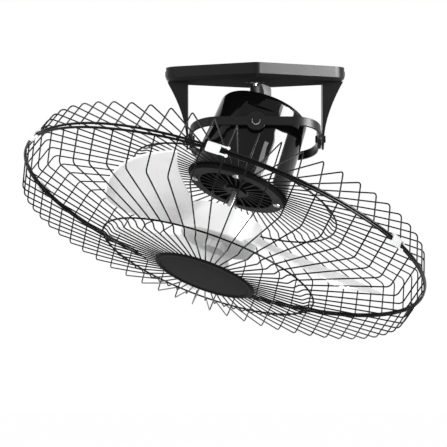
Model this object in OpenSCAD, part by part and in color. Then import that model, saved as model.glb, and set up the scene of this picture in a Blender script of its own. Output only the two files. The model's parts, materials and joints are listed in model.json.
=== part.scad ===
// Ceiling fan whose caged head swings round in a two-axis gimbal under a flat base.
// Millimetres, +Z up. The origin is the centre of the base's top face, on the ceiling,
// and +X runs along the axis of the two arms.

/* [Base] */
// Length of the six-sided base, tip to tip along X
base_l = 216.5; // [200:1:240]
// Depth of the base at its middle
base_w = 146; // [120:1:160]
// Depth of the base across each blunt end
base_end_w = 60; // [50:1:80]
// Radius of the two corners at the base's middle
base_corner_r = 10; // [6:1:18]
// Radius of the four corners at the base's ends
base_end_r = 24; // [12:1:25]
// Height of the base's upright side
base_side_h = 13; // [10:0.5:18]
// Height and width of the sloping lower edge
base_bevel = 4; // [3:0.5:7]
// Thickness of the base's pressed steel
base_t = 2; // [1.5:0.5:3]
// Distance between the two ceiling screws
ceiling_pitch = 83.5; // [60:0.5:100]
// Diameter of the ceiling screw holes
ceiling_hole_d = 6; // [4.5:0.5:8]

/* [Arms] */
// Distance between the inner faces of the arms
arm_gap = 163; // [160:1:170]
// Width of each arm along Y
arm_w = 26; // [22:1:30]
// Width of the arm's side flange at its top, along X
arm_flange_w = 25; // [18:1:28]
// Thickness of the arm's sheet
arm_t = 2; // [1.5:0.5:3]
// Distance from the ceiling to the gimbal centre
gimbal_z = 86; // [84:1:100]

/* [Gimbal] */
// Half length of the gimbal frame along X, outside
ring_half_x = 78.5; // [77:0.5:79]
// Half width of the gimbal frame along Y, outside
ring_half_y = 58.5; // [58:0.5:60]
// Outer corner radius of the gimbal frame
ring_corner_r = 34; // [25:1:40]
// Height of the gimbal frame's band
ring_h = 11; // [9:1:13]
// Thickness of the gimbal frame's band
ring_t = 3; // [2.5:0.5:4]
// Radius of the round lobes at the four pivots
lobe_r = 12; // [9:0.5:13]
// Diameter of the pivot pins
pin_d = 6; // [5:0.5:8]
// Rest angle of the frame about the arms' axis
ring_tilt = -18.85; // [-26:0.05:26]
// Rest angle of the head about the frame's own axis
head_tilt = 19.29; // [-26:0.05:26]

/* [Motor housing] */
// Radius of the housing at its front edge
housing_front_r = 60.5; // [58:0.5:62]
// Radius of the housing at its rear
housing_rear_r = 55.2; // [53:0.5:56]
// Radius of the rounded rear edge
housing_round_r = 8.7; // [6:0.1:10]
// Height of the rear face above the gimbal centre
housing_top = 40; // [36:0.5:40]
// Depth of the housing's front edge below the gimbal centre
housing_front = 64; // [62:1:66]
// Wall of the housing
housing_t = 2.5; // [2:0.5:3]
// Depth of the front cap
cap_h = 5.5; // [4:0.5:8]
// Depth of the finned recess in the front cap
recess_h = 3.5; // [2:0.5:4]

/* [Guards] */
// Radius of the two rim rings
rim_r = 250; // [240:1:260]
// Wire diameter of the rim rings
rim_d = 2.8; // [2.4:0.2:4]
// Depth of the rear rim ring below the gimbal centre
rim_rear_z = 120.4; // [118:0.1:122]
// Number of wires in each guard
n_wires = 60; // [48:6:72]
// Diameter of the guard wires
wire_d = 1.7; // [1.6:0.1:2.2]
// Radius of the rear guard's stiffening ring
rear_ring_r = 128.5; // [122:0.5:136]
// Radius of the front guard's stiffening ring
front_ring_r = 131.5; // [128:0.5:138]
// Wire diameter of the stiffening rings
ring_wire_d = 3; // [2.4:0.2:3.6]
// Turn of the first guard wire about the head's axis
wires_turn = 1; // [0:0.5:6]
// Width of each clip that holds the guards together, as an angle
clip_angle = 5.5; // [4:0.5:8]
// Radius of the round badge
badge_r = 62; // [55:1:66]

/* [Blades] */
// Number of blades
n_blades = 3; // [3:1:5]
// Radius swept by the blades' leading corners
blade_r = 208.5; // [195:0.5:212]
// Radius of the blades' trailing corners
blade_trail_r = 162; // [150:1:170]
// Radius of the blade hub
hub_r = 46; // [40:1:50]
// Drop of the trailing edge from the hub to the tip
blade_drop = 28; // [20:1:29]
// Thickness of the blades
blade_t = 2.4; // [2:0.2:3]
// Turn of the blades at rest
blade_turn = -140; // [-180:1:180]
// Diameter of the motor shaft
shaft_d = 8; // [7:0.5:10]

/* [Crank] */
// Diameter of the crank pin and of the shaft's end
crank_pin_d = 5; // [4:0.5:6]
// Height of the crank arm's boss
crank_t = 7; // [5:0.5:8]
// Width of the crank arm's upright block
crank_block_w = 10; // [8:0.5:12]
// Radius of the sleeve on the crank pin
sleeve_r = 6; // [5:0.5:6.5]

/* [Hidden] */
seat_gap = 0.3;      // clearance between faces that turn past each other
run_gap = 0.05;      // radial running clearance of a shaft in its bush
fix_gap = 0.02;      // radial clearance of a fixed piece in its hole
weld = 0.3;          // depth that welded wires sink into each other
base_h = base_side_h + base_bevel;
arm_x = arm_gap / 2;
arm_tip_r = arm_w / 2;
foot_z = -base_h - arm_t;
bush_r = pin_d / 2 + 2;
bush_flange_t = 1.2;
pin_head_r = bush_r - 0.5;
pin_head_t = 2.2;
seat_r = crank_pin_d / 2 + 3.5;
seat_flange_t = 2.5;
recess_y = ring_half_y - ring_t - bush_flange_t - seat_gap - 1.5;
recess_z = 20;
rim_front_z = rim_rear_z + rim_d + 0.4;
hub_plate_t = 1.5;
cap_z = -housing_front - hub_plate_t;
cap_front = cap_z - cap_h;
cap_r = housing_front_r + 0.4;
blade_z = -rim_rear_z - 8.6;
hub_h = 34;
hub_top = blade_z + 21;
cone = acos(cos(ring_tilt) * cos(head_tilt));   // angle between the head's axis and the upright
crank_reach = gimbal_z - base_h - 2 * seat_gap;  // from the gimbal centre to the tip of the crank pin
crank_az = atan2(sin(ring_tilt), -cos(ring_tilt) * sin(head_tilt));
crank_z = housing_top + 2;
crank_eye = crank_reach - 18;
gear_top = housing_top - housing_t;
gear_h = 20;
gear_r = 24;
plate_z = 12.5;
stator_top = -10;
stator_h = 36;
// Outer radius of the housing's cone at height z
function housing_at(z) = housing_rear_r + (housing_front_r - housing_rear_r)
    * (housing_top - housing_round_r - z) / (housing_top - housing_round_r + housing_front);
stator_r = housing_at(stator_top) - housing_t - seat_gap;
plate_r = housing_at(plate_z) - housing_t - seat_gap;
bore_r = 30;
cap_screw_r = housing_front_r - 8.5;
badge_screw_r = badge_r - 38;
clip_at = [-91, -37, 15, 63, 111, 162, 207];
boss_h = 12;
bearing_r = 9;
badge_z = -183.5;
$fn = 64;
black = [0.03, 0.03, 0.035];
wire_col = [0.06, 0.06, 0.065];
steel = [0.75, 0.75, 0.77];

// ---------- frames ----------
module at_ring() translate([0, 0, -gimbal_z]) rotate([ring_tilt, 0, 0]) children();
module at_head() at_ring() rotate([0, head_tilt, 0]) children();
module both_x() for (s = [0, 1]) mirror([s, 0, 0]) children();
module both_y() for (s = [0, 1]) mirror([0, s, 0]) children();
module spun(n, r, a0 = 0) for (i = [0:n - 1]) rotate([0, 0, a0 + i * 360 / n]) translate([r, 0, 0]) children();

// ---------- shared forms ----------
// Tube between two radii
module tube(ro, ri, h) difference() {
    cylinder(r = ro, h = h);
    translate([0, 0, -1]) cylinder(r = ri, h = h + 2);
}
// Pan-head screw: head on +Z above the origin, shank below
module screw(d, l, head_r, head_h) {
    translate([0, 0, -l]) cylinder(d = d, h = l + head_h / 2);
    difference() {
        cylinder(r = head_r, h = head_h);
        translate([-head_r * 0.7, -0.5, head_h * 0.5]) cube([head_r * 1.4, 1, head_h]);
        translate([-0.5, -head_r * 0.7, head_h * 0.5]) cube([1, head_r * 1.4, head_h]);
    }
}
// Ring of round wire
module wire_ring(r, z, d) translate([0, 0, z]) rotate_extrude($fn = 180) translate([r, 0]) circle(d = d, $fn = 24);
// Round wire through the points p of the XZ plane; a slight ball at each bend closes it
function unit(v) = v / norm(v);
function lean(a, b) = atan2(b[0] - a[0], b[1] - a[1]);
module bent_wire(p, d, i = 0) {
    L = norm(p[i + 1] - p[i]);
    cylinder(d = d, h = L, $fn = 16);
    if (i < len(p) - 2) translate([0, 0, L]) {
        sphere(d = d * 1.07, $fn = 16);
        rotate([0, lean(p[i + 1], p[i + 2]) - lean(p[i], p[i + 1]), 0]) bent_wire(p, d, i + 1);
    }
}
module placed_wire(p, d) translate([p[0][0], 0, p[0][1]]) rotate([0, lean(p[0], p[1]), 0]) bent_wire(p, d);
// Corner b between a and c, rounded over a length t on each side
function rounded(a, b, c, t) = let (u = unit(b - a), v = unit(c - b), h = acos(u * v) / 2)
    [b - u * t, b + unit(v - u) * t / tan(h) * (1 / cos(h) - 1), b + v * t];

// ---------- base ----------
// Six-sided plan with round corners, drawn in by g, from z down by h and in by b
module base_block(g, z, h, b = 0) {
    hull() for (p = [[base_l / 2 - base_end_r, base_end_w / 2 - base_end_r, base_end_r - g],
        [0, base_w / 2 - base_corner_r, base_corner_r - g]])
        for (sx = [-1, 1]) for (sy = [-1, 1]) translate([sx * p[0], sy * p[1], z - h])
            cylinder(r1 = p[2] - b, r2 = p[2], h = h, $fn = 96);
}
module base_tray() color(black) difference() {
    union() {
        base_block(0, 0, base_side_h);
        base_block(0, -base_side_h, base_bevel, base_bevel);
    }
    base_block(base_t, 1, base_side_h + 1);
    base_block(base_t, -base_side_h, base_bevel - base_t, base_bevel - base_t);
    both_x() for (s = [-1, 1]) translate([arm_x + 13, s * 6, -base_h - 1]) cylinder(d = 4.2, h = base_t + 2);
    translate([0, 0, -base_h - 1]) cylinder(r = seat_r + fix_gap, h = base_t + 2);
    for (s = [-1, 1]) translate([s * 10, 0, -base_h - 1]) cylinder(d = 3.1, h = base_t + 2);
    both_x() translate([base_l / 2 + 1, 0, -7]) rotate([0, -90, 0]) cylinder(d = 4.2, h = base_t + 2);
    translate([0, 45, -base_h - 1]) cylinder(d = 12, h = base_t + 2);
}
module mount_bracket() color(steel) difference() {
    intersection() {
        union() {
            translate([-base_l / 2, -15, -2.5]) cube([base_l, 30, 2.5]);
            both_x() translate([base_l / 2 - base_t - fix_gap - 2, -10, -11]) cube([2 + fix_gap, 20, 11]);
        }
        base_block(base_t + fix_gap, 1, base_side_h + 1);
    }
    for (s = [-1, 1]) translate([s * ceiling_pitch / 2, 0, -4]) cylinder(d = ceiling_hole_d, h = 6);
    translate([0, 0, -4]) cylinder(d = 22, h = 6);
    both_x() translate([base_l / 2, 0, -7]) rotate([0, -90, 0]) cylinder(d = 4.04, h = 6);
}
module tray_screws() color(black) both_x() translate([base_l / 2, 0, -7]) rotate([0, 90, 0]) screw(4, 6, 3.6, 1);
module cord_grommet() color([0.05, 0.05, 0.05]) translate([0, 45, -base_h]) difference() {
    union() {
        translate([0, 0, -1.5]) cylinder(r = 8, h = 1.5);
        cylinder(r = 6 - fix_gap, h = base_t);
        translate([0, 0, base_t]) cylinder(r = 8, h = 1.5);
    }
    translate([0, 0, -3]) cylinder(d = 7.5, h = 10);
}
module terminal_block() color([0.85, 0.85, 0.82]) translate([-42, 14, -base_h + base_t]) difference() {
    cube([34, 14, 11]);
    for (i = [0:3]) translate([5 + i * 8, 7, 3]) cylinder(d = 4, h = 9, $fn = 24);
    for (i = [0:3]) translate([5 + i * 8, -1, 4]) rotate([-90, 0, 0]) cylinder(d = 3, h = 16, $fn = 24);
}
module capacitor() color([0.7, 0.7, 0.68]) translate([14, 18, -base_h + base_t]) cube([38, 17, 12]);

// ---------- arms ----------
// Width of the arm's side flange at depth fraction t
function flange_w(t) = arm_t + (arm_flange_w - arm_t) * pow(1 - t, 1.7);
module arm() {
    drop = gimbal_z + foot_z;
    difference() {
        union() {
            translate([arm_x, 0, -gimbal_z]) rotate([90, 0, 90]) linear_extrude(arm_t) {
                circle(r = arm_tip_r);
                translate([-arm_w / 2, 0]) square([arm_w, drop + arm_t]);
            }
            both_y() translate([arm_x, arm_w / 2, foot_z + arm_t]) rotate([90, 0, 0]) linear_extrude(arm_t)
                polygon(concat([[0, 0]], [for (i = [0:14]) let (t = i / 14) [flange_w(t), -t * (drop + arm_t)]],
                    [[0, -(drop + arm_t)]]));
            translate([arm_x, -arm_w / 2, foot_z]) cube([arm_flange_w - 1, arm_w, arm_t]);
        }
        translate([arm_x - 1, 0, -gimbal_z]) rotate([0, 90, 0]) cylinder(r = bush_r, h = arm_t + 2);
        for (s = [-1, 1]) translate([arm_x + 13, s * 6, foot_z - 1]) cylinder(d = 4.2, h = arm_t + 2);
    }
}
module arm_right() color(black) arm();
module arm_left() color(black) mirror([1, 0, 0]) arm();
module arm_screws() color(steel) both_x() for (s = [-1, 1])
    translate([arm_x + 13, s * 6, foot_z]) rotate([180, 0, 0]) screw(4, arm_t + base_t + 3, 3.6, 2);
module arm_bushes() color([0.85, 0.85, 0.82]) both_x() translate([arm_x, 0, -gimbal_z]) rotate([0, 90, 0]) difference() {
    union() {
        translate([0, 0, -bush_flange_t]) cylinder(r = bush_r + 2, h = bush_flange_t);
        cylinder(r = bush_r - fix_gap, h = arm_t);
    }
    translate([0, 0, -3]) cylinder(r = pin_d / 2 + run_gap, h = arm_t + 6);
}
// Seat pressed into the base that the crank pin points into, with its flange inside
module pivot_seat() color(black) difference() {
    union() {
        translate([0, 0, -base_h]) cylinder(r = seat_r, h = base_t + seat_flange_t);
        translate([0, 0, -base_h + base_t]) cylinder(r = 14, h = seat_flange_t);
    }
    translate([0, 0, -base_h - 1]) cylinder(d = crank_pin_d + 0.6, h = 8);
    for (s = [-1, 1]) translate([s * 10, 0, -base_h]) cylinder(d = 3.1, h = 8);
}
module seat_rivets() color(black) for (s = [-1, 1]) translate([s * 10, 0, -base_h]) {
    cylinder(d = 3, h = base_t + seat_flange_t);
    translate([0, 0, base_t + seat_flange_t]) cylinder(d = 5, h = 1);
}

// ---------- gimbal frame ----------
module round_rect(hx, hy, r) {
    square([2 * hx, 2 * (hy - r)], center = true);
    square([2 * (hx - r), 2 * hy], center = true);
    for (sx = [-1, 1]) for (sy = [-1, 1]) translate([sx * (hx - r), sy * (hy - r)]) circle(r = r);
}
module gimbal_ring() color(black) at_ring() difference() {
    union() {
        translate([0, 0, -ring_h / 2]) linear_extrude(ring_h) difference() {
            round_rect(ring_half_x, ring_half_y, ring_corner_r);
            round_rect(ring_half_x - ring_t, ring_half_y - ring_t, ring_corner_r - ring_t);
        }
        both_x() translate([ring_half_x - ring_t, 0, 0]) rotate([0, 90, 0])
            cylinder(r = lobe_r, h = arm_x - bush_flange_t - seat_gap - ring_half_x + ring_t);
        both_y() translate([0, ring_half_y, 0]) rotate([90, 0, 0]) cylinder(r = lobe_r, h = ring_t);
    }
    both_x() translate([ring_half_x - ring_t - 1, 0, 0]) rotate([0, 90, 0]) cylinder(r = pin_d / 2 + fix_gap, h = 9);
    both_y() translate([0, ring_half_y + 1, 0]) rotate([90, 0, 0]) cylinder(r = bush_r, h = ring_t + 2);
}
// Pins on the arms' axis: fixed in the frame, turning in the arms' bushes
module ring_pins() color(steel) at_ring() both_x() rotate([0, 90, 0]) {
    translate([0, 0, ring_half_x - ring_t - 2]) cylinder(r = pin_d / 2 + 1.5, h = 2);
    translate([0, 0, ring_half_x - ring_t - 1]) cylinder(d = pin_d, h = arm_x + arm_t + seat_gap + 2 - ring_half_x + ring_t);
    translate([0, 0, arm_x + arm_t + seat_gap]) cylinder(r = pin_head_r, h = pin_head_t);
}
module ring_bushes() color([0.85, 0.85, 0.82]) at_ring() both_y() translate([0, ring_half_y - ring_t, 0])
    rotate([-90, 0, 0]) difference() {
        union() {
            translate([0, 0, -bush_flange_t]) cylinder(r = bush_r + 2, h = bush_flange_t);
            cylinder(r = bush_r - fix_gap, h = ring_t);
        }
        translate([0, 0, -3]) cylinder(r = pin_d / 2 + run_gap, h = ring_t + 6);
    }

// ---------- motor housing ----------
module housing_2d(g) {
    polygon([[0, -housing_front - 1], [housing_front_r - g, -housing_front - 1], [housing_front_r - g, -housing_front],
        [housing_rear_r - g, housing_top - housing_round_r], [0, housing_top - housing_round_r]]);
    translate([housing_rear_r - housing_round_r, housing_top - housing_round_r]) circle(r = housing_round_r - g);
    translate([0, housing_top - housing_round_r - 1])
        square([housing_rear_r - housing_round_r, housing_round_r + 1 - g]);
}
// Pockets in the housing's sides, where the frame's band swings, drawn out by g
module pockets(g) both_y() translate([-40, recess_y - g, -recess_z - g]) cube([80, 20, 2 * (recess_z + g)]);
module motor_housing() color(black) at_head() difference() {
    union() {
        difference() {
            rotate_extrude($fn = 128) housing_2d(0);
            difference() {
                rotate_extrude($fn = 128) housing_2d(housing_t);
                pockets(housing_t);
            }
            pockets(0);
        }
        both_y() translate([0, recess_y + 1.5, 0]) rotate([90, 0, 0]) cylinder(r = 8, h = 8);
        spun(4, cap_screw_r) translate([0, 0, -housing_front]) cylinder(r = 6.2, h = boss_h);
    }
    translate([0, 0, -housing_front - 5]) cylinder(r = 90, h = 5);
    both_y() translate([0, recess_y + 5, 0]) rotate([90, 0, 0]) cylinder(r = pin_d / 2 + fix_gap, h = 20);
    spun(4, cap_screw_r) translate([0, 0, -housing_front - 1]) cylinder(d = 4.04, h = boss_h - 1);
    cylinder(r = 9, h = housing_top + 1);
    for (i = [0:2]) rotate([0, 0, 30 + i * 120]) translate([18, 0, 0]) cylinder(d = 3.1, h = housing_top + 1);
}
// Pins on the frame's own axis: fixed in the housing, turning in the frame's bushes
module pivot_pins() color(steel) at_head() both_y() rotate([-90, 0, 0]) {
    translate([0, 0, recess_y - 7]) cylinder(d = pin_d, h = ring_half_y + seat_gap + 2 - recess_y + 7);
    difference() {
        translate([0, 0, ring_half_y + seat_gap]) cylinder(r = pin_head_r, h = pin_head_t);
        translate([-pin_head_r, -0.6, ring_half_y + seat_gap + 1.2]) cube([2 * pin_head_r, 1.2, 3]);
    }
}
module front_cap() color(black) at_head() difference() {
    union() {
        translate([0, 0, cap_front]) cylinder(r1 = cap_r - 2, r2 = cap_r, h = cap_h, $fn = 128);
        translate([0, 0, cap_front - 2]) cylinder(r = 13, h = 3);
    }
    difference() {
        translate([0, 0, cap_front - 1]) tube(cap_screw_r - 6, 16, recess_h + 1);
        for (i = [0:23]) rotate([0, 0, i * 15]) translate([14, -0.9, cap_front]) cube([cap_screw_r - 18, 1.8, recess_h + 1]);
    }
    translate([0, 0, cap_front - 3]) cylinder(r = shaft_d / 2 + 1, h = 20);
    translate([0, 0, cap_z - 3.5]) cylinder(r = bearing_r + fix_gap, h = 4);
    spun(4, cap_screw_r) translate([0, 0, cap_front - 1]) cylinder(d = 4.2, h = cap_h + 2);
}
module cap_screws() color(steel) at_head() spun(4, cap_screw_r) translate([0, 0, cap_front]) rotate([180, 0, 0])
    screw(4, cap_h + hub_plate_t + 6, 4, 2.2);
module front_bearing() color([0.6, 0.5, 0.35]) at_head() translate([0, 0, cap_z - 3.5])
    tube(bearing_r, shaft_d / 2 + run_gap, 9);
module rear_bearing() color([0.6, 0.5, 0.35]) at_head() translate([0, 0, plate_z - 4])
    tube(bearing_r, shaft_d / 2 + run_gap, 7);
// Disc with flats that clear the pockets' inner walls
module flatted(r, z, h) difference() {
    translate([0, 0, z]) cylinder(r = r, h = h);
    both_y() translate([-r, recess_y - housing_t - seat_gap, z - 1]) cube([2 * r, 20, h + 2]);
}
// Plate across the housing that carries the rear bearing, with the four screw posts
module bearing_plate() color([0.6, 0.6, 0.62]) at_head() difference() {
    union() {
        flatted(plate_r, plate_z - 3, 3);
        translate([0, 0, plate_z - 4]) cylinder(r = 12, h = 5);
    }
    translate([0, 0, plate_z - 8]) cylinder(r = bearing_r + fix_gap, h = 20);
    spun(8, 32) translate([0, 0, plate_z - 8]) cylinder(r = 6, h = 16);
}
module stator_core() color([0.45, 0.45, 0.47]) at_head() difference() {
    flatted(stator_r, stator_top - stator_h, stator_h);
    translate([0, 0, stator_top - stator_h - 1]) cylinder(r = bore_r, h = stator_h + 2);
    spun(16, bore_r + 6.5) translate([0, 0, stator_top - stator_h - 1]) cylinder(r = 3.5, h = stator_h + 2, $fn = 24);
}
module windings() color([0.6, 0.3, 0.15]) at_head() for (z = [stator_top, stator_top - stator_h - 7])
    translate([0, 0, z]) tube(stator_r - 10.7, bore_r + 2.5, 7);
// Small sealed motor and gears that turn the crank
module orbit_gearmotor() color([0.7, 0.7, 0.68]) at_head() difference() {
    union() {
        translate([0, 0, gear_top - gear_h]) cylinder(r = gear_r, h = gear_h);
        cylinder(r = 9 - fix_gap, h = housing_top);
    }
    translate([0, 0, -1]) cylinder(r = gear_r + 1, h = gear_top - gear_h + 1);
    translate([0, 0, gear_top - gear_h + 4]) cylinder(r = crank_pin_d / 2 + 1 + run_gap, h = gear_h + 20);
    for (i = [0:2]) rotate([0, 0, 30 + i * 120]) translate([18, 0, gear_top - 10]) cylinder(d = 3.1, h = 12);
}
module gearmotor_screws() color(steel) at_head() for (i = [0:2]) rotate([0, 0, 30 + i * 120])
    translate([18, 0, housing_top]) screw(3, 10, 2.7, 1);

// ---------- guards ----------
rear_in = [[housing_front_r + 0.7, cap_z - 0.6], [rear_ring_r - 10, cap_z - 5], [rear_ring_r - 4, cap_z - 9.2]];
rear_out = [[rim_r - 11.5, cap_z - 19.4], [rim_r - 1.2, -rim_rear_z - 0.6]];
front_in = [[badge_r - 34, badge_z + 1.6], [front_ring_r - 10, badge_z + 2.6], [front_ring_r - 4, badge_z + 7.2]];
front_out = [[rim_r - 12.3, badge_z + 22.2], [rim_r - 1.2, -rim_front_z + 0.6]];
rear_path = concat(rear_in, rounded(rear_in[2], rear_out[0], rear_out[1], 4.5), [rear_out[1]]);
front_path = concat(front_in, rounded(front_in[2], front_out[0], front_out[1], 4.5), [front_out[1]]);
// Height of a path at radius r, on its run from point i to the next
function path_z(p, i, r) = p[i][1] + (p[i + 1][1] - p[i][1]) * (r - p[i][0]) / (p[i + 1][0] - p[i][0]);
module wires(p) for (i = [0:n_wires - 1]) rotate([0, 0, wires_turn + i * 360 / n_wires]) placed_wire(p, wire_d);
module rear_wires() color(wire_col) at_head() union() wires(rear_path);
module front_wires() color(wire_col) at_head() union() wires(front_path);
module rear_ring() color(wire_col) at_head()
    wire_ring(rear_ring_r, path_z(rear_path, 2, rear_ring_r) - wire_d / 2 - ring_wire_d / 2 + weld, ring_wire_d);
module front_ring() color(wire_col) at_head()
    wire_ring(front_ring_r, path_z(front_path, 2, front_ring_r) + wire_d / 2 + ring_wire_d / 2 - weld, ring_wire_d);
module rear_rim() color(wire_col) at_head() wire_ring(rim_r, -rim_rear_z, rim_d);
module front_rim() color(wire_col) at_head() wire_ring(rim_r, -rim_front_z, rim_d);
module rear_hub_plate() color(wire_col) at_head() difference() {
    translate([0, 0, cap_z]) tube(housing_front_r + 2.4, cap_screw_r - 6, hub_plate_t);
    spun(4, cap_screw_r) translate([0, 0, cap_z - 1]) cylinder(d = 4.2, h = hub_plate_t + 2);
}
module badge_plate() color(wire_col) at_head() difference() {
    translate([0, 0, badge_z + 1.6 + wire_d / 2 - weld]) cylinder(r = badge_r - 26, h = 1.5);
    spun(3, badge_screw_r) translate([0, 0, badge_z]) cylinder(d = 3.1, h = 12);
}
module badge() color([0.16, 0.16, 0.17]) at_head() difference() {
    translate([0, 0, badge_z]) rotate_extrude($fn = 128) {
        translate([0, -2]) square([badge_r - 3, 2]);
        translate([badge_r - 5, -2.6]) square([3.6, 2.6]);
        translate([badge_r - 2, -1.3]) circle(r = 1.3);
        translate([0, -1]) square([badge_screw_r + 3, 2.6 + wire_d / 2 - weld - fix_gap]);
    }
    spun(3, badge_screw_r) translate([0, 0, badge_z - 1]) cylinder(d = 2.4, h = 5);
}
module badge_screws() color(steel) at_head() spun(3, badge_screw_r)
    translate([0, 0, badge_z + 3.1 + wire_d / 2 - weld]) screw(2.4, 3.9, 2.6, 1.4);
// Clip that hooks over both rim rings from outside
module guard_clips() color([0.85, 0.87, 0.88, 0.7]) at_head() for (a = clip_at)
    rotate([0, 0, a - clip_angle / 2]) rotate_extrude(angle = clip_angle, $fn = 180) difference() {
        translate([rim_r + 0.2, -rim_front_z - rim_d / 2 - 2.3])
            square([rim_d / 2 + 2.4, rim_front_z - rim_rear_z + rim_d + 4.6]);
        translate([rim_r - 1, -rim_front_z - rim_d / 2 - seat_gap])
            square([rim_d / 2 + 1 + seat_gap, rim_front_z - rim_rear_z + rim_d + 2 * seat_gap]);
    }

// ---------- crank ----------
module crank_shaft() color(steel) at_head() difference() {
    translate([0, 0, gear_top - gear_h + 4 + seat_gap]) {
        cylinder(r = crank_pin_d / 2 + 1, h = gear_h - 4 + housing_t + 1.4);
        cylinder(r = crank_pin_d / 2, h = gear_h - 4 + housing_t + crank_t + 1.4);
    }
    translate([0, 0, crank_z + crank_t - 8.2]) cylinder(d = 2.44, h = 12);
}
// Upright block of the crank arm, as points of the crank's plane: out from the pin, up from the gimbal centre
block_2d = [[sleeve_r + 1.2, crank_reach - 0.8], [sleeve_r + 12, crank_reach - 2.8], [sleeve_r + 16.5, crank_reach - 5],
    [sleeve_r + 17, crank_reach - 7.4], [sleeve_r + 17, crank_reach - 24.4], [sleeve_r + 6, crank_reach - 24.4],
    [sleeve_r + 5, crank_reach - 12.4]];
module at_pin() at_head() rotate([0, 0, crank_az]) rotate([0, cone, 0]) children();
module crank_arm() color([0.62, 0.62, 0.63]) difference() {
    union() {
        at_head() translate([0, 0, crank_z]) cylinder(r = 10, h = crank_t);
        at_head() rotate([0, 0, crank_az]) translate([0, -4.5, crank_z + 1.5]) cube([22, 9, 5]);
        at_pin() translate([0, 0, crank_eye]) cylinder(r = sleeve_r + 1, h = 4.5);
        at_pin() translate([0, crank_block_w / 2, 0]) rotate([90, 0, 0]) linear_extrude(crank_block_w)
            mirror([1, 0]) polygon(block_2d);
    }
    at_head() translate([0, 0, crank_z - 1]) cylinder(r = crank_pin_d / 2 + fix_gap, h = 30);
    at_head() translate([0, 0, crank_z + crank_t]) cylinder(r = 3.4, h = 30);
    at_pin() translate([0, 0, crank_eye - 1]) cylinder(r = crank_pin_d / 2 + fix_gap, h = 20);
}
module crank_sleeve() color([0.06, 0.06, 0.06]) at_pin() translate([0, 0, crank_eye + 4.5])
    tube(sleeve_r, crank_pin_d / 2 + run_gap, crank_reach - crank_eye - 8);
module crank_pin() color(steel) at_pin() intersection() {
    translate([0, 0, crank_eye]) cylinder(d = crank_pin_d, h = 30);
    sphere(r = crank_reach, $fn = 128);
}
module crank_screw() color(steel) at_head() translate([0, 0, crank_z + crank_t]) screw(2.4, 8, 3, 1.6);

// ---------- rotor ----------
shaft_top = plate_z + 2;
shaft_len = shaft_top - hub_top + hub_h + 6;
module motor_shaft() color(steel) at_head() translate([0, 0, shaft_top - shaft_len]) cylinder(d = shaft_d, h = shaft_len);
module rotor_core() color([0.5, 0.5, 0.52]) at_head() translate([0, 0, stator_top - stator_h - 1])
    tube(bore_r - 0.4, shaft_d / 2 + fix_gap, stator_h + 2);
module shaft_collar() color(steel) at_head() translate([0, 0, hub_top + seat_gap]) difference() {
    tube(8, shaft_d / 2 + fix_gap, 7);
    translate([0, 0, 3.5]) rotate([0, 90, 0]) cylinder(d = 3, h = 12);
}
// Cup with its closed face to the front, a boss for the shaft and six ribs
module blade_hub() color([0.9, 0.9, 0.9]) at_head() translate([0, 0, hub_top - hub_h]) difference() {
    union() {
        difference() {
            rotate_extrude($fn = 128) {
                square([hub_r - 3, hub_h]);
                translate([0, 3]) square([hub_r, hub_h - 3]);
                translate([hub_r - 3, 3]) circle(r = 3);
            }
            translate([0, 0, 3]) cylinder(r = hub_r - 2.5, h = hub_h, $fn = 128);
        }
        cylinder(r = 9, h = hub_h);
        for (i = [0:5]) rotate([0, 0, i * 60]) translate([8, -1, 1]) cube([hub_r - 9, 2, hub_h - 8]);
    }
    translate([0, 0, -2]) cylinder(r = shaft_d / 2 + fix_gap, h = hub_h + 4);
}
module blade_nut() color([0.9, 0.9, 0.9]) at_head() translate([0, 0, hub_top - hub_h - seat_gap - 8]) difference() {
    union() {
        cylinder(r = 13, h = 8);
        spun(6, 13) cylinder(r = 2, h = 8, $fn = 24);
    }
    translate([0, 0, 2]) cylinder(r = shaft_d / 2 + fix_gap, h = 10);
}
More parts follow.
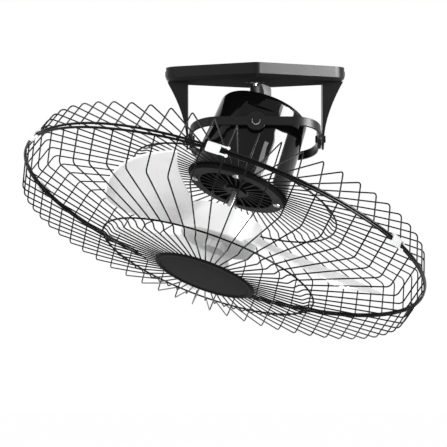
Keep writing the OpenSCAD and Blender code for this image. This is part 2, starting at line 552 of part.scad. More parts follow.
// Blade form: s runs from the hub to the tip, q from the trailing (-1) to the leading edge (1)
function mid(a, b, q) = (a + b) / 2 + (a - b) / 2 * q;
function out_to(r, s) = hub_r - 2 + (r - hub_r + 2) * s;
function blade_rad(s, q) = mid(out_to(blade_r, s), out_to(blade_trail_r, s), q) + 14 * (1 - q * q) * pow(s, 3);
function blade_ang(s, q) = mid(36.1 - 15.8 * (1 - s) + 4.1 * pow(1 - s, 2) - 24.7 * pow(1 - s, 8),
    -24.3 + 1.1 * s + 23.3 * s * s, q);
function blade_lift(s, q) = mid(6.2 - 3 * s + 6.4 * s * s, -6.1 - (blade_drop + 8) * s + 8 * s * s, q)
    + 2 * s * (1 - q * q);
module blade() {
    ns = 14;
    nq = 12;
    pt = function (i, j, h) let (s = i / ns, q = 2 * j / nq - 1, r = blade_rad(s, q), a = blade_ang(s, q),
        e = 0.4 + 0.6 * sqrt(max(0, 1 - pow(abs(q), 6)) * (1 - pow(s, 10))))
        [r * cos(a), r * sin(a), blade_lift(s, q) + h * e * blade_t / 2];
    n1 = nq + 1;
    N = (ns + 1) * n1;
    pts = [for (h = [-1, 1]) for (i = [0:ns]) for (j = [0:nq]) pt(i, j, h)];
    faces = concat(
        [for (i = [0:ns - 1]) for (j = [0:nq - 1]) for (k = [0, 1]) let (a = i * n1 + j)
            k == 0 ? [a, a + n1 + 1, a + 1] : [a, a + n1, a + n1 + 1]],
        [for (i = [0:ns - 1]) for (j = [0:nq - 1]) for (k = [0, 1]) let (a = N + i * n1 + j)
            k == 0 ? [a, a + 1, a + n1 + 1] : [a, a + n1 + 1, a + n1]],
        [for (j = [0:nq - 1]) for (k = [0, 1]) k == 0 ? [j, j + 1, N + j + 1] : [j, N + j + 1, N + j]],
        [for (j = [0:nq - 1]) for (k = [0, 1]) let (a = ns * n1 + j)
            k == 0 ? [a, N + a + 1, a + 1] : [a, N + a, N + a + 1]],
        [for (i = [0:ns - 1]) for (k = [0, 1]) let (a = i * n1)
            k == 0 ? [a, N + a, N + a + n1] : [a, N + a + n1, a + n1]],
        [for (i = [0:ns - 1]) for (k = [0, 1]) let (a = i * n1 + nq)
            k == 0 ? [a, N + a + n1, N + a] : [a, a + n1, N + a + n1]]);
    polyhedron(points = pts, faces = faces);
}
module blades() color([0.88, 0.88, 0.88]) at_head() for (i = [0:n_blades - 1])
    translate([0, 0, blade_z]) rotate([0, 0, blade_turn + i * 360 / n_blades]) blade();

mount_bracket();
base_tray();
tray_screws();
cord_grommet();
terminal_block();
capacitor();
arm_left();
arm_right();
arm_screws();
arm_bushes();
pivot_seat();
seat_rivets();
gimbal_ring();
ring_pins();
ring_bushes();
motor_housing();
pivot_pins();
front_cap();
cap_screws();
front_bearing();
stator_core();
windings();
bearing_plate();
rear_bearing();
orbit_gearmotor();
gearmotor_screws();
rear_hub_plate();
rear_wires();
rear_ring();
rear_rim();
front_wires();
front_ring();
front_rim();
badge_plate();
badge();
badge_screws();
guard_clips();
crank_shaft();
crank_arm();
crank_sleeve();
crank_pin();
crank_screw();
motor_shaft();
rotor_core();
shaft_collar();
blade_hub();
blades();
blade_nut();
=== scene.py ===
import json
import math
import bpy
import bmesh
from mathutils import Matrix, Vector


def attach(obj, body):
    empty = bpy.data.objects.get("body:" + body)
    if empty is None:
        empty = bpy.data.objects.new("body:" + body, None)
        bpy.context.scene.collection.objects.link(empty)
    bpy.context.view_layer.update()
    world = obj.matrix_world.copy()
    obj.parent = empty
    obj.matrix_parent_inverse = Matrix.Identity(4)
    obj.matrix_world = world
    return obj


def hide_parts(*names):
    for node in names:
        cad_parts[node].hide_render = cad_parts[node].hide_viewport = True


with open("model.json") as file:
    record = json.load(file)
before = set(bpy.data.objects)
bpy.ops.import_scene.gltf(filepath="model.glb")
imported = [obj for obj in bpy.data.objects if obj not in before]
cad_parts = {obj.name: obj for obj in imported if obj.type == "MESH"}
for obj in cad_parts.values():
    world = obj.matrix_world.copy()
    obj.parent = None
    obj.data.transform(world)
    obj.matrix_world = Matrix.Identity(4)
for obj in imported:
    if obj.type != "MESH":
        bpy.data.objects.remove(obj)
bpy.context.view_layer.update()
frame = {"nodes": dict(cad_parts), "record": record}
MM = 0.001

# ---------------------------------------------------------------- the head's own frame
# It starts where the gimbal's axes cross. +Z is the motor's axis, towards the rear, and +Y runs along
# the pivot pins, so the front of the fan looks towards -Z.
joints = {j["name"]: j for j in frame["record"]["behaviour"]["joints"]}
centre = Vector(joints["blade_spin"]["pos_m"])
head_z = Vector(joints["blade_spin"]["axis"]).normalized()
head_y = Vector(joints["head_tilt"]["axis"]).normalized()
head_x = head_y.cross(head_z).normalized()
head_y = head_z.cross(head_x).normalized()
HEAD = Matrix((head_x, head_y, head_z)).transposed().to_4x4()
HEAD.translation = centre


def turned(angle, axis="Z"):
    """A turn of so many degrees about an axis through the origin."""
    return Matrix.Rotation(math.radians(angle), 4, axis)


# ---------------------------------------------------------------- finishes
VECTOR, COLOUR, NUMBER = "NodeSocketVector", "NodeSocketColor", "NodeSocketFloat"
# The dust's tone, and the black towards which faces that look down are darkened as painted shade.
DUST_TONE, UNDERSIDE_SHADE = (0.34, 0.32, 0.3, 1), (0, 0, 0, 1)
RELIEF_DEPTH = 0.2 * MM


def effect(name, *ins):
    """A shader node group with named inputs (name, kind, value) that puts out tone, roughness and height."""
    group = bpy.data.node_groups.new(name, "ShaderNodeTree")
    for label, kind, value in ins:
        socket = group.interface.new_socket(label, in_out="INPUT", socket_type=kind)
        socket.default_value = value
    for label, kind in (("Colour", COLOUR), ("Roughness", NUMBER), ("Height", NUMBER)):
        group.interface.new_socket(label, in_out="OUTPUT", socket_type=kind)
    return group, group.nodes.new("NodeGroupInput"), group.nodes.new("NodeGroupOutput")


def noise(tree, vector, scale, detail=3.0, rough=0.5):
    """Noise; the scale is in waves to the metre, as a number or as a socket."""
    node = tree.nodes.new("ShaderNodeTexNoise")
    node.inputs["Detail"].default_value = detail
    node.inputs["Roughness"].default_value = rough
    if isinstance(scale, (int, float)):
        node.inputs["Scale"].default_value = scale
    else:
        tree.links.new(scale, node.inputs["Scale"])
    tree.links.new(vector, node.inputs["Vector"])
    return node.outputs["Fac"]


def sums(tree, how, a, b, clamp=False):
    """One step of arithmetic on two numbers or sockets."""
    node = tree.nodes.new("ShaderNodeMath")
    node.operation = how
    node.use_clamp = clamp
    for socket, value in zip(node.inputs, (a, b)):
        if isinstance(value, (int, float)):
            socket.default_value = value
        else:
            tree.links.new(value, socket)
    return node.outputs[0]


def spread(tree, value, low, high, to_low, to_high):
    """Maps low..high onto to_low..to_high, and holds the ends."""
    node = tree.nodes.new("ShaderNodeMapRange")
    node.inputs["From Min"].default_value = low
    node.inputs["From Max"].default_value = high
    node.inputs["To Min"].default_value = to_low
    node.inputs["To Max"].default_value = to_high
    tree.links.new(value, node.inputs["Value"])
    return node.outputs["Result"]


def blended(tree, factor, a, b):
    """Colour a, turned towards colour b by the factor."""
    node = tree.nodes.new("ShaderNodeMix")
    node.data_type = "RGBA"
    tree.links.new(factor, node.inputs["Factor"])
    for label, value in (("A", a), ("B", b)):
        socket = [s for s in node.inputs if s.name == label and s.type == "RGBA"][0]
        if isinstance(value, tuple):
            socket.default_value = value
        else:
            tree.links.new(value, socket)
    return [s for s in node.outputs if s.type == "RGBA"][0]


def paint_effect():
    """Orange peel of sprayed enamel, faint handling marks, a trace of dust on faces that look up, and on
    faces that look straight down a duller coat and painted shade, which darkens the colour towards black."""
    group, inn, out = effect(
        "sprayed_enamel", ("Vector", VECTOR, (0, 0, 0)), ("Up", VECTOR, (0, 0, 1)),
        ("Colour", COLOUR, (0.02, 0.02, 0.02, 1)), ("Roughness", NUMBER, 0.2),
        ("Peel", NUMBER, 900.0), ("Dust", NUMBER, 0.1), ("UndersideShadeAndDull", NUMBER, 0.0))
    v = inn.outputs["Vector"]
    fine = noise(group, v, inn.outputs["Peel"], 2.0)
    marks = noise(group, v, 24.0, 4.0, 0.6)
    specks = noise(group, v, 2600.0, 1.0)
    axis = group.nodes.new("ShaderNodeSeparateXYZ")
    group.links.new(inn.outputs["Up"], axis.inputs[0])
    lying = spread(group, axis.outputs["Z"], 0.35, 0.95, 0.0, 1.0)
    flecks = spread(group, specks, 0.35, 0.75, 0.2, 1.0)
    dust = sums(group, "MULTIPLY", sums(group, "MULTIPLY", lying, flecks), inn.outputs["Dust"], True)
    tone = blended(group, dust, inn.outputs["Colour"], DUST_TONE)
    # Painted shade: faces that look straight down are darkened towards black; they are also made duller.
    shade_and_dull_below = sums(group, "MULTIPLY", spread(group, axis.outputs["Z"], -0.8, -0.95, 0.0, 1.0),
                 inn.outputs["UndersideShadeAndDull"])
    group.links.new(blended(group, shade_and_dull_below, tone, UNDERSIDE_SHADE), out.inputs["Colour"])
    rough = sums(group, "ADD", inn.outputs["Roughness"], spread(group, marks, 0.3, 0.7, -0.04, 0.06))
    rough = sums(group, "ADD", rough, sums(group, "MULTIPLY", dust, 0.6))
    rough = sums(group, "ADD", rough, shade_and_dull_below, True)
    group.links.new(rough, out.inputs["Roughness"])
    group.links.new(fine, out.inputs["Height"])
    return group


def metal_effect():
    """Plated or drawn metal: fine lines along one axis and a cloudy tone."""
    group, inn, out = effect(
        "drawn_metal", ("Vector", VECTOR, (0, 0, 0)), ("Colour", COLOUR, (0.7, 0.7, 0.7, 1)),
        ("Roughness", NUMBER, 0.25), ("Lines", VECTOR, (1.0, 1.0, 0.04)))
    stretch = group.nodes.new("ShaderNodeVectorMath")
    stretch.operation = "MULTIPLY"
    group.links.new(inn.outputs["Vector"], stretch.inputs[0])
    group.links.new(inn.outputs["Lines"], stretch.inputs[1])
    lines = noise(group, stretch.outputs[0], 3000.0, 2.0)
    cloud = noise(group, inn.outputs["Vector"], 90.0, 3.0)
    dull = group.nodes.new("ShaderNodeHueSaturation")
    group.links.new(inn.outputs["Colour"], dull.inputs["Color"])
    group.links.new(spread(group, cloud, 0.3, 0.7, 0.86, 1.08), dull.inputs["Value"])
    group.links.new(dull.outputs[0], out.inputs["Colour"])
    rough = sums(group, "ADD", inn.outputs["Roughness"], spread(group, lines, 0.3, 0.7, -0.06, 0.1), True)
    group.links.new(rough, out.inputs["Roughness"])
    group.links.new(lines, out.inputs["Height"])
    return group


def plastic_effect():
    """Moulded plastic: fine spark-eroded grain and slow waves of tone from the mould's flow."""
    group, inn, out = effect(
        "moulded_grain", ("Vector", VECTOR, (0, 0, 0)), ("Colour", COLOUR, (0.7, 0.7, 0.7, 1)),
        ("Roughness", NUMBER, 0.35), ("Grain", NUMBER, 1400.0))
    v = inn.outputs["Vector"]
    grain = noise(group, v, inn.outputs["Grain"], 2.0, 0.6)
    flow = noise(group, v, 14.0, 2.0)
    tone = group.nodes.new("ShaderNodeHueSaturation")
    group.links.new(inn.outputs["Colour"], tone.inputs["Color"])
    group.links.new(spread(group, flow, 0.3, 0.7, 0.96, 1.04), tone.inputs["Value"])
    group.links.new(tone.outputs[0], out.inputs["Colour"])
    rough = sums(group, "ADD", inn.outputs["Roughness"], spread(group, grain, 0.3, 0.7, -0.05, 0.05), True)
    group.links.new(rough, out.inputs["Roughness"])
    group.links.new(grain, out.inputs["Height"])
    return group


PAINT, METAL, PLASTIC = paint_effect(), metal_effect(), plastic_effect()


def finish(name, group, colour, values, bump, **plain):
    """A material: one shader fed by an effect group, with plain numbers on its own sockets. The values
    go to the group's inputs, and bump says how strongly its height shows."""
    mat = bpy.data.materials.new(name)
    mat.use_nodes = True
    tree = mat.node_tree
    shader = tree.nodes["Principled BSDF"]
    where = tree.nodes.new("ShaderNodeTexCoord")
    node = tree.nodes.new("ShaderNodeGroup")
    node.node_tree = group
    tree.links.new(where.outputs["Object"], node.inputs["Vector"])
    if "Up" in node.inputs:
        tree.links.new(where.outputs["Normal"], node.inputs["Up"])
    node.inputs["Colour"].default_value = (*colour, 1)
    for label, value in values.items():
        node.inputs[label].default_value = value
    tree.links.new(node.outputs["Colour"], shader.inputs["Base Color"])
    tree.links.new(node.outputs["Roughness"], shader.inputs["Roughness"])
    relief = tree.nodes.new("ShaderNodeBump")
    relief.inputs["Strength"].default_value = bump
    relief.inputs["Distance"].default_value = RELIEF_DEPTH
    tree.links.new(node.outputs["Height"], relief.inputs["Height"])
    tree.links.new(relief.outputs["Normal"], shader.inputs["Normal"])
    for label, value in plain.items():
        shader.inputs[label.replace("_", " ")].default_value = value
    mat.diffuse_color = (*colour, 1)
    return mat


FINISH = {
    # The base's faces that look straight down are darkened towards black as painted shade, and dulled.
    "gloss_black_steel": finish(
        "base_enamel_shaded_below", PAINT, (0.009, 0.009, 0.0094),
        {"Roughness": 0.33, "Peel": 700.0, "Dust": 0.12, "UndersideShadeAndDull": 0.9}, 0.12, Specular_IOR_Level=0.085),
    "black_steel": finish(
        "frame_enamel", PAINT, (0.008, 0.008, 0.0085),
        {"Roughness": 0.32, "Peel": 1100.0, "Dust": 0.1}, 0.15, Specular_IOR_Level=0.13),
    "cast_zinc": finish(
        "cast_zinc", METAL, (0.26, 0.26, 0.265),
        {"Roughness": 0.62, "Lines": (0.5, 0.5, 0.5)}, 0.3, Metallic=0.25, Specular_IOR_Level=0.2),
    "zinc_steel": finish(
        "zinc_plate", METAL, (0.62, 0.62, 0.63), {"Roughness": 0.38}, 0.1, Metallic=1.0),
    "gloss_black_shell": finish(
        "housing_gloss", PAINT, (0.003, 0.003, 0.0032),
        {"Roughness": 0.06, "Peel": 400.0, "Dust": 0.02}, 0.02, Specular_IOR_Level=0.15),
    "satin_black_cap": finish(
        "cap_satin", PAINT, (0.006, 0.006, 0.006),
        {"Roughness": 0.34, "Peel": 1300.0, "Dust": 0.02}, 0.25, Specular_IOR_Level=0.04),
    "black_wire": finish(
        "wire_coat", PAINT, (0.002, 0.002, 0.002),
        {"Roughness": 0.24, "Peel": 1500.0, "Dust": 0.02}, 0.15, Specular_IOR_Level=0.07),
    "badge_grey": finish(
        "badge_matt", PLASTIC, (0.007, 0.007, 0.0074),
        {"Roughness": 0.5, "Grain": 2200.0}, 0.35, Specular_IOR_Level=0.02),
    "bright_steel": finish(
        "bright_plate", METAL, (0.6, 0.6, 0.61), {"Roughness": 0.27}, 0.1, Metallic=1.0),
    "white_nylon": finish(
        "nylon", PLASTIC, (0.7, 0.7, 0.67),
        {"Roughness": 0.45}, 0.12, Subsurface_Weight=0.15, Subsurface_Scale=0.002),
    "capacitor_case": finish(
        "case_plain", PLASTIC, (0.5, 0.5, 0.48), {"Roughness": 0.5}, 0.15),
    "rubber_black": finish(
        "rubber", PLASTIC, (0.015, 0.015, 0.015), {"Roughness": 0.7, "Grain": 900.0}, 0.3),
    "bronze": finish(
        "bearing_bronze", METAL, (0.5, 0.33, 0.16), {"Roughness": 0.35}, 0.1, Metallic=1.0),
    "core_steel": finish(
        "core_sheets", METAL, (0.3, 0.3, 0.31),
        {"Roughness": 0.45, "Lines": (0.05, 0.05, 1.0)}, 0.3, Metallic=1.0),
    "copper_winding": finish(
        "winding_wire", METAL, (0.42, 0.16, 0.06),
        {"Roughness": 0.3, "Lines": (0.3, 0.3, 1.0)}, 0.4, Metallic=0.6),
    "blade_white": finish(
        "blade_plastic", PLASTIC, (0.82, 0.82, 0.82),
        {"Roughness": 0.3, "Grain": 1800.0}, 0.06, Subsurface_Weight=0.1, Subsurface_Scale=0.003),
    "clip_clear": finish(
        "clip_plastic", PLASTIC, (0.82, 0.83, 0.84),
        {"Roughness": 0.22, "Grain": 1600.0}, 0.05, Subsurface_Weight=0.25, Subsurface_Scale=0.004),
}
slot_of = {s["node"]: s["material_slot"] for s in frame["record"]["subparts"]}
for node, ob in frame["nodes"].items():
    ob.data.materials.clear()
    ob.data.materials.append(FINISH[slot_of[node]])

# ---------------------------------------------------------------- making pieces
# An edge of a solid that turns by more than this many degrees is rounded off.
CREASE = 35


def piece(name, bm, body, slot, *nodes, place=None, sharp=40):
    """Turns a bmesh into a shown piece that rides on a body and stands for the CAD nodes named."""
    if place is not None:
        bmesh.ops.transform(bm, matrix=place, verts=bm.verts)
    mesh = bpy.data.meshes.new(name)
    bm.to_mesh(mesh)
    bm.free()
    mesh.shade_smooth()
    mesh.set_sharp_from_angle(angle=math.radians(sharp))
    ob = bpy.data.objects.new(name, mesh)
    bpy.context.scene.collection.objects.link(ob)
    mesh.materials.append(FINISH[slot])
    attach(ob, body)
    if nodes:
        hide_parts(*nodes)
    return ob


def creases(bm, angle):
    """The edges at which two faces turn by more than so many degrees."""
    return [e for e in bm.edges if len(e.link_faces) == 2 and e.calc_face_angle(0) > math.radians(angle)]


def round_off(bm, edges, width, segments):
    """Takes edges off to a round of a width in mm."""
    bmesh.ops.bevel(bm, geom=edges, offset=width * MM, affect="EDGES", segments=segments, profile=0.5,
                    material=-1, clamp_overlap=True)


def softened(node, body, width, wide=None):
    """The node's own form with its creases rounded off; wide is a test for the edges that get a larger
    bend first, and that bend's width."""
    bm = bmesh.new()
    bm.from_mesh(frame["nodes"][node].data)
    bmesh.ops.remove_doubles(bm, verts=bm.verts, dist=2e-6)
    bmesh.ops.dissolve_limit(bm, angle_limit=math.radians(1.0), verts=bm.verts, edges=bm.edges)
    if wide:
        pick, bend = wide
        round_off(bm, [e for e in creases(bm, CREASE) if pick(e)], bend, 5)
    round_off(bm, creases(bm, CREASE), width, 2)
    ob = piece(node + "_finished", bm, body, slot_of[node], node, sharp=50)
    even = ob.modifiers.new("even_shading", "WEIGHTED_NORMAL")
    even.keep_sharp = True
    return ob


def upright(outline):
    """An outline of radius and height in mm, as points of the XZ plane."""
    return [(r * MM, 0, z * MM) for r, z in outline]


def drawn_through(bm, outline, stations):
    """A closed bar with the outline as its section, drawn from one station to the next."""
    corners = [bm.verts.new(stations[0] @ Vector(p)) for p in outline]
    face = bm.faces.new(corners)
    for i in range(1, len(stations)):
        grown = bmesh.ops.extrude_face_region(bm, geom=[face])["geom"]
        if i > 1:
            bmesh.ops.delete(bm, geom=[face], context="FACES_ONLY")
        face = [g for g in grown if isinstance(g, bmesh.types.BMFace)][0]
        bmesh.ops.transform(bm, matrix=stations[i] @ stations[i - 1].inverted(), verts=face.verts)
    bmesh.ops.recalc_face_normals(bm, faces=bm.faces)


def swept(bm, path, radius, sides=8):
    """A round wire along points of the XZ plane, each bend turned by halves."""
    path = [Vector(p) for p in upright(path)]
    heads = []
    for i, p in enumerate(path):
        a = (p - path[i - 1]).normalized() if i else (path[1] - p).normalized()
        b = (path[i + 1] - p).normalized() if i < len(path) - 1 else a
        heads.append((a + b).normalized())

    def stand(i):
        """Places the section on a point of the path, square to the wire."""
        side = Vector((0, 1, 0))
        m = Matrix((side.cross(heads[i]), side, heads[i])).transposed().to_4x4()
        m.translation = path[i]
        return m

    turns = [2 * math.pi * k / sides for k in range(sides)]
    circle = [(radius * MM * math.cos(t), radius * MM * math.sin(t), 0) for t in turns]
    drawn_through(bm, circle, [stand(i) for i in range(len(path))])


def spun(bm, steps):
    """Turns the outline that the bmesh holds once round the Z axis, into a closed skin."""
    bmesh.ops.spin(bm, geom=bm.verts[:] + bm.edges[:], cent=(0, 0, 0), axis=(0, 0, 1), angle=2 * math.pi,
                   steps=steps, use_merge=True)
    bmesh.ops.remove_doubles(bm, verts=bm.verts, dist=1e-6)
    bmesh.ops.recalc_face_normals(bm, faces=bm.faces)


def around(bm, count, first=0.0):
    """Copies what the bmesh holds round the Z axis, count in all, the first turned by first degrees."""
    bmesh.ops.transform(bm, matrix=turned(first), verts=bm.verts)
    bmesh.ops.spin(bm, geom=bm.verts[:] + bm.edges[:] + bm.faces[:], cent=(0, 0, 0), axis=(0, 0, 1),
                   angle=2 * math.pi * (count - 1) / count, steps=count - 1, use_duplicate=True)


def round_corner(a, b, c, radius, steps=5):
    """Points of an arc that takes the corner b off the line a, b, c."""
    a, b, c = Vector(a), Vector(b), Vector(c)
    u, w = (a - b).normalized(), (c - b).normalized()
    half = u.angle(w) / 2
    back = radius / math.tan(half)
    hub = b + (u + w).normalized() * radius / math.sin(half)
    p, q = b + u * back - hub, b + w * back - hub
    sweep = p.angle_signed(q)
    return [hub + Matrix.Rotation(-sweep * k / steps, 2) @ p for k in range(steps + 1)]


def rounded_path(points, radius):
    """The points with an arc of one radius at each corner between the ends."""
    out = [Vector(points[0])]
    for i in range(1, len(points) - 1):
        out += round_corner(points[i - 1], points[i], points[i + 1], radius)
    return out + [Vector(points[-1])]


# ---------------------------------------------------------------- guards
# From here to the badge, radii and heights are in mm and azimuths in degrees, in the head's frame.
GUARD_WIRE, RIM_WIRE, RING_WIRE = 1.7, 2.8, 2.1
WIRES, FIRST_WIRE, WIRE_BEND = 60, 1.0, 7
WIRE_LINES = {
    "rear_wires": [(61.3, -66.1), (118.5, -70.5), (124.5, -74.7), (238.5, -84.9), (248.8, -120.6)],
    "front_wires": [(28, -181.9), (121.5, -180.9), (127.5, -176.3), (237.7, -161.3), (248.8, -123.4)],
}
RIM, REAR_RIM, FRONT_RIM = 250.0, -120.55, -123.45
REAR_RING, REAR_RING_AT = 128.5, -76.66
FRONT_RING, FRONT_RING_AT = 131.5, -174.16
CLIPS_AT = (-91, -37, 15, 63, 111, 162, 207)
GAPE_MOST = 1.15

for name, line in WIRE_LINES.items():
    bm = bmesh.new()
    swept(bm, rounded_path(line, WIRE_BEND), GUARD_WIRE / 2)
    around(bm, WIRES, FIRST_WIRE)
    piece(name + "_drawn", bm, "head", "black_wire", name, place=HEAD, sharp=80)


def gape(azimuth):
    """How far each rim springs away from the other between the last clip and the first, in mm."""
    start, end = CLIPS_AT[-1], CLIPS_AT[0] + 360
    t = (azimuth - start) / (end - start)
    return GAPE_MOST * math.sin(math.pi * t) ** 2 if 0 < t < 1 else 0.0


def hoop(node, radius, height, wire, away=0):
    """A ring of round wire about the head's axis; away is the side to which it springs between clips."""
    bm = bmesh.new()
    section = Matrix.Translation((radius * MM, 0, 0)) @ turned(90, "X")
    bmesh.ops.create_circle(bm, segments=12, radius=wire / 2 * MM, matrix=section)
    spun(bm, 240)
    for v in bm.verts:
        v.co.z += (height + away * gape(math.degrees(math.atan2(v.co.y, v.co.x)) % 360)) * MM
    piece(node + "_drawn", bm, "head", "black_wire", node, place=HEAD, sharp=80)


hoop("rear_rim", RIM, REAR_RIM, RIM_WIRE, away=1)
hoop("front_rim", RIM, FRONT_RIM, RIM_WIRE, away=-1)
# The stiffening rings lie inside the guard, and the wires sink 0.3 mm into them.
hoop("rear_ring", REAR_RING, REAR_RING_AT, RING_WIRE)
hoop("front_ring", FRONT_RING, FRONT_RING_AT, RING_WIRE)

# ---------------------------------------------------------------- blades
BLADES = 3
ROOT, LEAD_LENGTH, TRAIL_LENGTH = 44, 164.5, 118
TIP_BULGE, CROWN = 14, 2
BLADE_LEVEL, BLADE_TURN = -129, 140
EDGE_CROWDING = 1.15
MID_BLADE, TIP_CORNER = 100, 6
BLADE_WALL, BLADE_EDGE = 2.2, 0.9


def mid(a, b, q):
    """A value between b, where q is -1, and a, where q is 1."""
    return (a + b) / 2 + (a - b) / 2 * q


def blade_point(s, q):
    """A point of the blade's middle surface: s runs from root 0 to tip 1, q from trailing edge -1 to
    leading edge 1. Turns are in degrees, rises in mm."""
    lead, trail = ROOT + LEAD_LENGTH * s, ROOT + TRAIL_LENGTH * s
    r = mid(lead, trail, q) + TIP_BULGE * (1 - q * q) * s ** 3
    t = 1 - s
    lead_turn = 36.1 - 15.8 * t + 4.1 * t ** 2 - 24.7 * t ** 8
    trail_turn = -24.3 + 1.1 * s + 23.3 * s * s
    a = math.radians(mid(lead_turn, trail_turn, q) - BLADE_TURN)
    lead_rise = 6.2 - 3 * s + 6.4 * s * s
    trail_rise = -6.1 - 36 * s + 8 * s * s
    z = BLADE_LEVEL + mid(lead_rise, trail_rise, q) + CROWN * s * (1 - q * q)
    return Vector((r * math.cos(a), r * math.sin(a), z)) * MM


bm = bmesh.new()
bmesh.ops.create_grid(bm, x_segments=26, y_segments=20, size=1.0)
for v in bm.verts:
    s, q = (v.co.x + 1) / 2, v.co.y
    edge = math.copysign(1 - (1 - abs(q)) ** EDGE_CROWDING, q)
    v.co = blade_point(s, edge)
corners = [v for v in bm.verts if len(v.link_edges) == 2 and v.co.xy.length > MID_BLADE * MM]
bmesh.ops.bevel(bm, geom=corners, offset=TIP_CORNER * MM, affect="VERTICES", segments=4, profile=0.5,
                material=-1)
around(bm, BLADES)
blades = piece("blade_set", bm, "rotor", "blade_white", "blades", place=HEAD, sharp=60)
wall = blades.modifiers.new("wall", "SOLIDIFY")
wall.thickness = BLADE_WALL * MM
wall.offset = 0.0
soft = blades.modifiers.new("edge", "BEVEL")
soft.width = BLADE_EDGE * MM
soft.segments = 3
soft.limit_method = "ANGLE"
soft.angle_limit = math.radians(60)

# ---------------------------------------------------------------- clips over the two rims
CLIP_SECTION = [
    (248.8, -127.1), (250.6, -127.3), (252.4, -127.3), (253.9, -126.0), (254.0, -122.0), (253.9, -118.0),
    (252.4, -116.7), (250.6, -116.7), (248.8, -116.9), (248.8, -118.1), (250.6, -118.5), (251.7, -119.5),
    (251.8, -122.0), (251.7, -124.5), (250.6, -125.5), (248.8, -125.9)]
CLIP_START, CLIP_SWEEP, CLIP_STEPS = -2.75, 3.4, 6
FINGER_LEVELS = (-126.35, -117.65)
FINGER_AT, FINGER_HALF_WIDTH, FINGER_HALF_HEIGHT = 251.4, 1.5, 1.0
FINGER_START, FINGER_SWEEP, FINGER_STEPS = 0.4, 2.0, 4
KNOB_TURN, KNOB_RADIUS = 2.4, 1.9
CLIP_CREASE, CLIP_ROUND = 50, 0.4


def along_rim(first, sweep, steps):
    """Places along the rims, as turns about the head's axis in even steps over a sweep."""
    return [turned(first + sweep * k / steps) for k in range(steps + 1)]


bm = bmesh.new()
for at in CLIPS_AT:
    bar = bmesh.new()
    drawn_through(bar, upright(CLIP_SECTION), along_rim(at + CLIP_START, CLIP_SWEEP, CLIP_STEPS))
    for z in FINGER_LEVELS:
        turns = [math.pi * k / 5 for k in range(10)]
        finger = [(FINGER_AT + FINGER_HALF_WIDTH * math.cos(t), z + FINGER_HALF_HEIGHT * math.sin(t))
                  for t in turns]
        drawn_through(bar, upright(finger), along_rim(at + FINGER_START, FINGER_SWEEP, FINGER_STEPS))
        knob = turned(at + KNOB_TURN) @ Matrix.Translation((FINGER_AT * MM, 0, z * MM))
        bmesh.ops.create_uvsphere(bar, u_segments=16, v_segments=10, radius=KNOB_RADIUS * MM, matrix=knob)
    round_off(bar, creases(bar, CLIP_CREASE), CLIP_ROUND, 2)
    made = bpy.data.meshes.new("bar")
    bar.to_mesh(made)
    bar.free()
    bm.from_mesh(made)
    bpy.data.meshes.remove(made)
piece("clips_moulded", bm, "head", "clip_clear", "guard_clips", place=HEAD, sharp=60)

# ---------------------------------------------------------------- badge
BADGE_OUTLINE = [
    (0, -185.75), (30, -185.7), (48, -185.35), (54.0, -184.9), (54.9, -184.9), (55.6, -185.6),
    (56.4, -186.05), (59.2, -186.05), (60.6, -185.6), (61.7, -184.7), (62.0, -183.9), (61.6, -183.3),
    (60.0, -183.0), (0, -183.0)]
bm = bmesh.new()
line = [bm.verts.new(p) for p in upright(BADGE_OUTLINE)]
for pair in zip(line, line[1:]):
    bm.edges.new(pair)
spun(bm, 128)
piece("badge_moulded", bm, "head", "badge_grey", "badge", place=HEAD, sharp=40)

# ---------------------------------------------------------------- forms with their edges rounded off
ARM_BEND_X, ARM_BEND_Y, PIVOT_LEVEL, SLACK = 81.5 * MM, 13 * MM, -86 * MM, 0.2 * MM


def arm_bend(edge):
    """The upright edges, from an arm's foot to its pivot, at which the plate turns out into its flanges."""
    return all(abs(abs(v.co.x) - ARM_BEND_X) < SLACK and abs(abs(v.co.y) - ARM_BEND_Y) < SLACK
               and v.co.z > PIVOT_LEVEL - SLACK for v in edge.verts)


for node, body, width in (
        ("base_tray", "base", 1.0), ("gimbal_ring", "gimbal_frame", 1.0), ("front_cap", "head", 0.4),
        ("motor_housing", "head", 0.6), ("crank_arm", "crank", 0.7), ("crank_sleeve", "crank", 0.6),
        ("blade_hub", "rotor", 0.5), ("pivot_pins", "head", 0.6), ("ring_pins", "gimbal_frame", 0.6),
        ("blade_nut", "rotor", 0.6)):
    softened(node, body, width)
for node in ("arm_left", "arm_right"):
    softened(node, "base", 0.45, wide=(arm_bend, 1.1))

# ---------------------------------------------------------------- floor and background
FLOOR_HALF, FLOOR_LEVEL, FLOOR_TONE = 14, -2.3, (0.85, 0.85, 0.85, 1)
FLOOR_GLOW, ROOM_LIGHT = 0.97, 0.88


def background_rays(tree):
    """1 on rays from the camera, off gloss and through clear pieces, to which the background is white."""
    path = tree.nodes.new("ShaderNodeLightPath")
    seen = sums(tree, "MAXIMUM", path.outputs["Is Camera Ray"], path.outputs["Is Transmission Ray"])
    return sums(tree, "MAXIMUM", seen, path.outputs["Is Glossy Ray"])


def pale(name, colour):
    """Plain surface that reads as white to the camera and in reflections."""
    mat = bpy.data.materials.new(name)
    mat.use_nodes = True
    tree = mat.node_tree
    base = tree.nodes["Principled BSDF"]
    base.inputs["Base Color"].default_value = colour
    base.inputs["Roughness"].default_value = 0.9
    glow = tree.nodes.new("ShaderNodeEmission")
    glow.inputs["Strength"].default_value = 1.0
    seen = background_rays(tree)
    mix = tree.nodes.new("ShaderNodeMixShader")
    tree.links.new(sums(tree, "MULTIPLY", seen, FLOOR_GLOW), mix.inputs[0])
    tree.links.new(base.outputs[0], mix.inputs[1])
    tree.links.new(glow.outputs[0], mix.inputs[2])
    tree.links.new(mix.outputs[0], tree.nodes["Material Output"].inputs[0])
    return mat


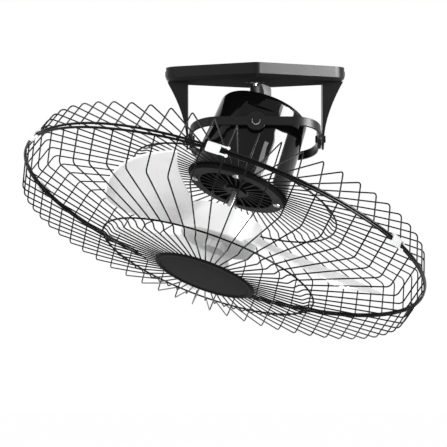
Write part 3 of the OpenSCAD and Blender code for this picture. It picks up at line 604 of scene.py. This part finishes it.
bm = bmesh.new()
bmesh.ops.create_grid(bm, x_segments=1, y_segments=1, size=FLOOR_HALF)
bmesh.ops.translate(bm, vec=(0, 0, FLOOR_LEVEL), verts=bm.verts)
mesh = bpy.data.meshes.new("floor")
bm.to_mesh(mesh)
bm.free()
floor = bpy.data.objects.new("floor", mesh)
bpy.context.scene.collection.objects.link(floor)
mesh.materials.append(pale("floor_pale", FLOOR_TONE))

world = bpy.data.worlds.new("studio")
bpy.context.scene.world = world
world.use_nodes = True
tree = world.node_tree
sky = tree.nodes["Background"]
level = sums(tree, "ADD", sums(tree, "MULTIPLY", background_rays(tree), 1 - ROOM_LIGHT), ROOM_LIGHT)
tree.links.new(level, sky.inputs["Strength"])
sky.inputs["Color"].default_value = (1, 1, 1, 1)

# ---------------------------------------------------------------- lamps
# The point in the fan at which every lamp aims, in metres.
HEART = (0, 0, -0.12)


def beyond(azimuth, height, distance):
    """A place round the fan, by its azimuth from the camera's side towards +X and its height in degrees."""
    a, h = math.radians(azimuth), math.radians(height)
    return (distance * math.sin(a) * math.cos(h), -distance * math.cos(a) * math.cos(h),
            HEART[2] + distance * math.sin(h))


def lit(name, place, power, size, size_y, gloss=True, matt=True):
    """A soft box aimed at the fan; gloss lets it show in reflections, matt lets it light matt surfaces."""
    data = bpy.data.lights.new(name, "AREA")
    data.energy = power
    data.shape = "RECTANGLE"
    data.size, data.size_y = size, size_y
    lamp = bpy.data.objects.new(name, data)
    lamp.location = place
    lamp.rotation_euler = (Vector(HEART) - Vector(place)).to_track_quat("-Z", "Y").to_euler()
    bpy.context.scene.collection.objects.link(lamp)
    lamp.visible_diffuse, lamp.visible_glossy = matt, gloss


# Each has a name, a place, a power in watts, and a width and a height in metres.
lit("right_box", beyond(61, 14, 1.5), 3.5, 0.95, 1.05)
lit("right_box_shine", beyond(64.5, 14, 1.49), 56, 1.12, 1.05, matt=False)
lit("right_box_core", beyond(70, 14, 1.47), 130, 0.73, 1.05, matt=False)
lit("left_box", beyond(-60, 20, 2.0), 5, 0.5, 1.2)
lit("low_fill", beyond(-35, -18, 1.9), 18, 1.2, 1.2, gloss=False)
lit("top_box", (0.0, 0.3, 1.8), 2, 1.6, 1.6)

# ---------------------------------------------------------------- camera
# It stands and looks as the photograph's did, level and square to the two arms.
PICTURE_PX, FOCAL_PX, SENSOR = 447.0, 1400.0, 36.0
camera = bpy.data.objects.new("camera", bpy.data.cameras.new("camera"))
camera.data.sensor_width = SENSOR
camera.data.lens = FOCAL_PX / PICTURE_PX * SENSOR
camera.location = (-0.0384, -1.707, -0.1887)
camera.rotation_euler = (math.radians(90), 0, 0)
bpy.context.scene.collection.objects.link(camera)
bpy.context.scene.camera = camera
bpy.context.scene.view_settings.view_transform = "Standard"
